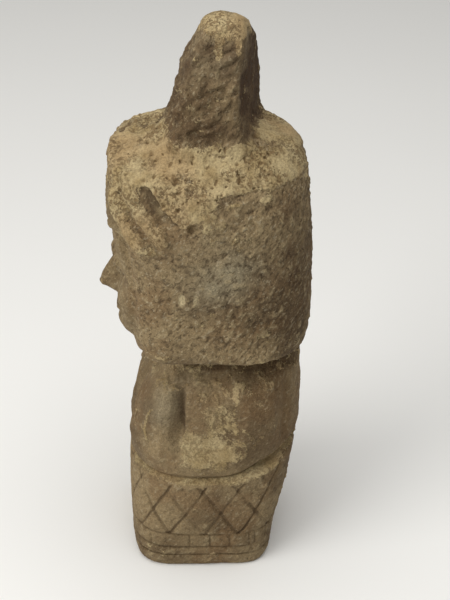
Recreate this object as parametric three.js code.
// A small free-standing stone figure: a block-like idol with a tall topknot, a large head,
// hands raised to the chest and a garment cut with a diamond lattice.
// Millimetres. +Z is up, the face looks along -Y and the figure's left side is +X.
// The origin is the centre of the flat underside.
//
// The stone is one closed loft. Each ring is a rounded rectangle whose four faces stand off
// its axis by the distances in LEVELS, and the carving then moves its points in and out.

import * as THREE from 'three';
import { mergeVertices } from 'three/addons/utils/BufferGeometryUtils.js';

// ---------- driving dimensions ----------

const HEIGHT = 400;
const SEGMENTS = 70;
const FRONT_DENSITY = 0.35; // how much closer the segments stand at the face than at the back

const CHIN_Z = 178;
const HAIRLINE_Z = 277;
const FACE_THIRD = (HAIRLINE_Z - CHIN_Z) / 3; // hairline to brow, brow to nose, nose to chin
const NOSE_BASE_Z = CHIN_Z + FACE_THIRD;
const BROW_Z = CHIN_Z + 2 * FACE_THIRD;
const MOUTH_Z = NOSE_BASE_Z - FACE_THIRD / 3;
const EYE_Z = BROW_Z - 0.27 * FACE_THIRD;
const EYE_WIDTH = 16; // the face is five eyes wide, and the eyes stand one eye apart
const FACE_HALF = 2.5 * EYE_WIDTH;

const GARMENT_TOP_Z = 80; // the ring groove that closes the garment under the arms
const GARMENT_RISE = 17; // how much higher it runs at the back
const CROWN_SLOPE = 0.06; // the crown is worn lower on the figure's left
const HAIR_SLOPE = 0.72; // how steeply the edge of the hair runs down to the temples
const HAIR_EDGE = 344; // where that edge would meet the parting
const AXIS_Y = 8; // the axis of the rings stands behind the middle of the underside

// Each level: the number of rings from it up to the next, the squareness of its ring, then how
// far its front, sides and back stand off the axis and at what height, the ring's shift
// towards +Y, and the turn of its back face in degrees.
const LEVELS = [
  level('sole centre', 1, 4.4, [0, 0], [0, 0], [0, 0]),
  level('sole', 2, 4.4, [54.5, 0], [50.5, 0], [38.5, 0]),
  level('foot', 1, 4.2, [58, 5], [53.5, 5], [42, 5]),
  level('band', 2, 3.6, [59, 24], [55, 24], [45, 24]),
  level('lattice', 2, 3.0, [59, 50], [54.5, 50], [52, 50]),
  level('garment', 2, 2.6, [58, 74], [54, 75.5], [60, 92]),
  level('groove', 2, 2.6, [54, 79], [48, 80], [57, 97]),
  level('elbow', 2, 2.6, [57, 84], [51, 84.5], [60, 103]),
  level('forearm', 3, 2.7, [55.5, 97], [53, 98], [62, 114]),
  level('chest', 3, 2.7, [51, 122], [51, 124], [62, 134]),
  level('shoulder', 2, 2.7, [48.5, 132], [48.5, 146], [61, 149]),
  level('shoulder edge', 2, 2.7, [42.5, 146], [45.5, 155], [61, 158]),
  level('neck base', 1, 2.7, [36, 157], [39, 161], [60, 163]),
  level('neck', 1, 2.7, [32, 167], [31, 168], [59, 169]),
  level('under jaw', 2, 2.8, [38, 174], [36, 177], [60, 175]),
  level('jaw', 5, 2.8, [54, CHIN_Z], [54, 184], [64.5, 181]),
  level('cheek', 9, 2.8, [58, 198], [58, 206], [66.5, 204]),
  level('temple', 6, 2.8, [60, 236], [59, 238], [66, 238]),
  level('hair', 5, 2.8, [62.5, 266], [59, 264], [64.5, 266]),
  level('upper head', 4, 2.6, [62.5, 290], [57.5, 291], [62.5, 288]),
  level('rim', 2, 2.3, [62, 311], [53, 308], [60, 306]),
  level('crown', 2, 2.1, [40, 320], [42, 316], [49, 319], 2),
  level('topknot fillet', 1, 3.2, [34, 325], [34, 321], [30, 325], 5, 6),
  level('topknot base', 3, 8.0, [29, 333], [30, 330], [20.5, 333], 6, 13),
  level('topknot middle', 2, 10.0, [24, 360], [23, 358], [17, 360], 7, 20),
  level('topknot shoulder', 2, 8.0, [17, 382], [17, 383], [16, 382], 9, 13),
  level('topknot top', 2, 3.0, [11, 394], [11, 395], [13, 394], 9, 4),
  level('apex', 0, 2.4, [0, HEIGHT], [0, HEIGHT], [0, HEIGHT], 8),
];

function level(name, rings, squareness, front, side, back, shiftY = 0, backTurn = 0) {
  return {
    name,
    rings,
    squareness,
    frontOut: front[0],
    frontZ: front[1],
    sideOut: side[0],
    sideZ: side[1],
    backOut: back[0],
    backZ: back[1],
    shiftY,
    backTurn: THREE.MathUtils.degToRad(backTurn),
  };
}

// ---------- small curves ----------

// 0 below `from`, 1 above `to`, smooth between
function rise(value, from, to) {
  return THREE.MathUtils.smoothstep(value, from, to);
}

// 1 below `from`, 0 above `to`, smooth between
function fall(value, from, to) {
  return 1 - rise(value, from, to);
}

// a round ridge that reaches 1 at `centre` and is 0 beyond `reach` from it
function ridge(value, centre, reach) {
  const offset = Math.min(Math.abs(value - centre) / reach, 1);
  return 0.5 + 0.5 * Math.cos(Math.PI * offset);
}

// a soft mound, 1 at its middle; the arguments are distances in units of its size
function mound(across, up) {
  return Math.exp(-(across * across + up * up));
}

// the upper half of a ball, 1 at its middle and 0 beyond its edge
function ball(across, up) {
  return Math.sqrt(Math.max(0, 1 - across * across - up * up));
}

// a smooth curve through values at 0, 1, 2, ... that never overshoots them
function monotoneCurve(values) {
  const steps = values.slice(1).map((value, i) => value - values[i]);
  const slopes = values.map((value, i) => {
    const before = steps[i - 1];
    const after = steps[i];
    if (before === undefined) return after;
    if (after === undefined) return before;
    return before * after > 0 ? (2 * before * after) / (before + after) : 0;
  });
  return (t) => {
    const i = Math.min(Math.floor(t), values.length - 2);
    const u = t - i;
    const u2 = u * u;
    const u3 = u2 * u;
    return (2 * u3 - 3 * u2 + 1) * values[i] + (u3 - 2 * u2 + u) * slopes[i]
      + (3 * u2 - 2 * u3) * values[i + 1] + (u3 - u2) * slopes[i + 1];
  };
}

const LEVEL_CURVES = Object.fromEntries(
  Object.keys(LEVELS[0])
    .filter((key) => key !== 'name' && key !== 'rings')
    .map((key) => [key, monotoneCurve(LEVELS.map((item) => item[key]))]),
);

function ringAt(t) {
  return Object.fromEntries(Object.entries(LEVEL_CURVES).map(([key, curve]) => [key, curve(t)]));
}

// ---------- the uncarved block ----------

// distance from the ring's axis to its rounded outline in the direction `angle`
function outlineRadius(ring, angle) {
  const faces = [
    [0, ring.sideOut],
    [Math.PI / 2 - ring.backTurn, ring.backOut],
    [Math.PI, ring.sideOut],
    [-Math.PI / 2, ring.frontOut],
  ];
  let sum = 0;
  for (const [direction, out] of faces) {
    const facing = Math.max(Math.cos(angle - direction), 0);
    sum += (facing / Math.max(out, 1e-6)) ** ring.squareness;
  }
  return sum ** (-1 / ring.squareness);
}

function blockPoint(ring, angle) {
  const along = Math.cos(angle);
  const across = Math.sin(angle);
  const radius = outlineRadius(ring, angle);
  const endZ = across > 0 ? ring.backZ : ring.frontZ;
  const point = new THREE.Vector3(
    radius * along,
    radius * across + ring.shiftY,
    ring.sideZ * along * along + endZ * across * across,
  );
  point.z -= CROWN_SLOPE * point.x * rise(point.z, 270, 300) * fall(point.z, 325, 365);
  return point;
}

// ---------- the carving, as distances out of the block ----------

// `around` runs over the surface from the middle of the side: negative to the front,
// positive to the back. `fromFront` runs from the middle of the front.

function grooveZ(around) {
  return GARMENT_TOP_Z + GARMENT_RISE * rise(around, 0, 100);
}

function bodyCarving(around, fromFront, z) {
  const palm = -27.5 + 0.1 * (z - 140);
  const hollow = 5.5 * rise(around - palm, -6, 6) * fall(around, -2, 24)
    * rise(z, 93, 110) * fall(z, 150, 184);
  const palmGroove = 6.5 * ridge(around - palm, 0.5, 7)
    * rise(z, 106, 122) * fall(z, 142, 158);
  const handTop = 134 + 19 * rise(fromFront, 16, 44); // lower where the hands meet
  const hand = 2.5 * rise(fromFront, 4, 14) * fall(around - palm, -12, -4)
    * rise(z, 86, 100) * fall(z - handTop, -7, 7);
  const handSeam = 3 * ridge(fromFront, 0, 7) * rise(z, 88, 96) * fall(z, 150, 160);
  const upperArm = 3 * rise(around, 14, 23) * fall(around, 44, 54)
    * rise(z, 96, 116) * fall(z, 146, 162);
  const armBack = 2 * ridge(around, 62, 8) * rise(z, 98, 110) * fall(z, 150, 165);
  const ledge = 4 * rise(around, 8, 45) * ridge(z, grooveZ(around) + 3, 8);
  return hand + upperArm - hollow - palmGroove - handSeam - armBack - ledge;
}

function neckCarving(around, z) {
  const recess = 7 * rise(around, -24, -14) * fall(around, 55, 80) * ridge(z, 170, 10);
  const jowl = 4 * ridge(around, 28, 45) * ridge(z, 184, 12);
  return jowl - recess;
}

// The hair stands out from the temples, below a slanting line that runs down from the
// parting, and makes a roll over the forehead.
function hairCarving(fromFront, z) {
  const height = z + HAIR_SLOPE * fromFront;
  const hairline = HAIRLINE_Z - 10 * rise(fromFront, 15, 60);
  const locks = 2.3 * rise(fromFront, 26, 38) * rise(z - hairline, -4, 4)
    * fall(height, HAIR_EDGE, HAIR_EDGE + 10) * fall(z, 302, 318) * fall(fromFront, 86, 98);
  const roll = 3 * rise(z, HAIRLINE_Z - 5, HAIRLINE_Z) * fall(z, 283, 300)
    * fall(fromFront, 38, 48);
  return locks + roll;
}

function faceCarving(x, z) {
  const noseTipZ = NOSE_BASE_Z + 4;
  const noseRise = z > noseTipZ
    ? 14 * fall(z, noseTipZ - 4, BROW_Z + 4)
    : 14 * rise(z, NOSE_BASE_Z - 4, noseTipZ);
  const noseHalf = 5 + 5 * fall(z, noseTipZ, BROW_Z);
  const nose = noseRise * ridge(x, 0, noseHalf);
  const nostrils = 3.5 * mound((x - 7) / 4, (z - NOSE_BASE_Z - 2) / 4.5);
  const browZ = BROW_Z + 2 - 0.008 * (x - EYE_WIDTH) ** 2;
  const brow = 3.5 * ridge(z, browZ, 6) * rise(x, 2, 8) * fall(x, 26, 36);
  const socket = 7 * mound((x - EYE_WIDTH) / 12, (z - EYE_Z) / 8.5);
  const eye = 5 * ball((x - EYE_WIDTH) / (EYE_WIDTH / 2), (z - EYE_Z) / 5.5);
  const upperLip = 3.6 * ridge(z, MOUTH_Z + 2.8, 4) * fall(x, 7, 15);
  const lowerLip = 4 * ridge(z, MOUTH_Z - 3.4, 4.2) * fall(x, 5, 13);
  const chin = 6 * mound(x / 13, (z - CHIN_Z - 9) / 8);
  const underLip = 2.5 * mound(x / 10, (z - MOUTH_Z + 9) / 3.5);
  const cheek = 3 * mound((x - 25) / 11, (z - NOSE_BASE_Z - 5) / 12);
  const oval = Math.hypot(x / FACE_HALF, (z - EYE_Z) / (EYE_Z - CHIN_Z));
  const beyondOval = 3.5 * rise(oval, 0.95, 1.08) * fall(z, HAIRLINE_Z - 8, HAIRLINE_Z)
    * rise(z, CHIN_Z - 4, CHIN_Z + 4);
  return nose + nostrils + brow - socket + eye + upperLip + lowerLip + chin - underLip + cheek
    - beyondOval;
}

function carvedPoint(ring, angle) {
  const point = blockPoint(ring, angle);
  const x = Math.abs(point.x);
  const y = point.y - ring.shiftY;
  const { z } = point;
  const sideGap = ring.sideOut - x;
  const around = y > 0 ? y + sideGap : y - sideGap;
  const fromFront = around + ring.sideOut + ring.frontOut;
  let out = bodyCarving(around, fromFront, z) + neckCarving(around, z)
    + hairCarving(fromFront, z);
  if (y < 0) out += faceCarving(x, z) * fall(fromFront, 45, 60);
  out *= rise(ring.sideOut, 35, 40); // nothing is carved on the topknot or the sole
  point.x += out * Math.cos(angle);
  point.y += out * Math.sin(angle);
  return point;
}

// ---------- the solid ----------

function ringPositions() {
  const positions = [];
  LEVELS.forEach((item, i) => {
    for (let n = 0; n < item.rings; n += 1) positions.push(i + n / item.rings);
  });
  positions.push(LEVELS.length - 1);
  return positions;
}

function segmentAngle(fraction) {
  const turn = 2 * Math.PI * fraction;
  return turn - FRONT_DENSITY * Math.sin(turn) - Math.PI / 2;
}

function figureGeometry() {
  const positions = ringPositions();
  const profile = positions.map((t, i) => {
    const onAxis = i === 0 || i === positions.length - 1;
    return new THREE.Vector2(onAxis ? 0 : 1, t);
  });
  const geometry = new THREE.LatheGeometry(profile, SEGMENTS);
  const vertices = geometry.getAttribute('position');
  const rings = positions.map(ringAt);
  for (let segment = 0; segment <= SEGMENTS; segment += 1) {
    const angle = segmentAngle((segment % SEGMENTS) / SEGMENTS);
    for (let i = 0; i < rings.length; i += 1) {
      const point = carvedPoint(rings[i], angle);
      if (i <= 1) point.z = 0;
      vertices.setXYZ(segment * rings.length + i, point.x, point.y + AXIS_Y, point.z);
    }
  }
  geometry.deleteAttribute('normal');
  geometry.deleteAttribute('uv');
  const welded = mergeVertices(geometry, 1e-4);
  welded.computeVertexNormals();
  return welded;
}

const stone = new THREE.MeshStandardMaterial({
  color: 0x75664f,
  roughness: 0.95,
  metalness: 0,
});

const figure = new THREE.Mesh(figureGeometry(), stone);
figure.name = 'figure';

const group = new THREE.Group();
group.add(figure);

export default group;
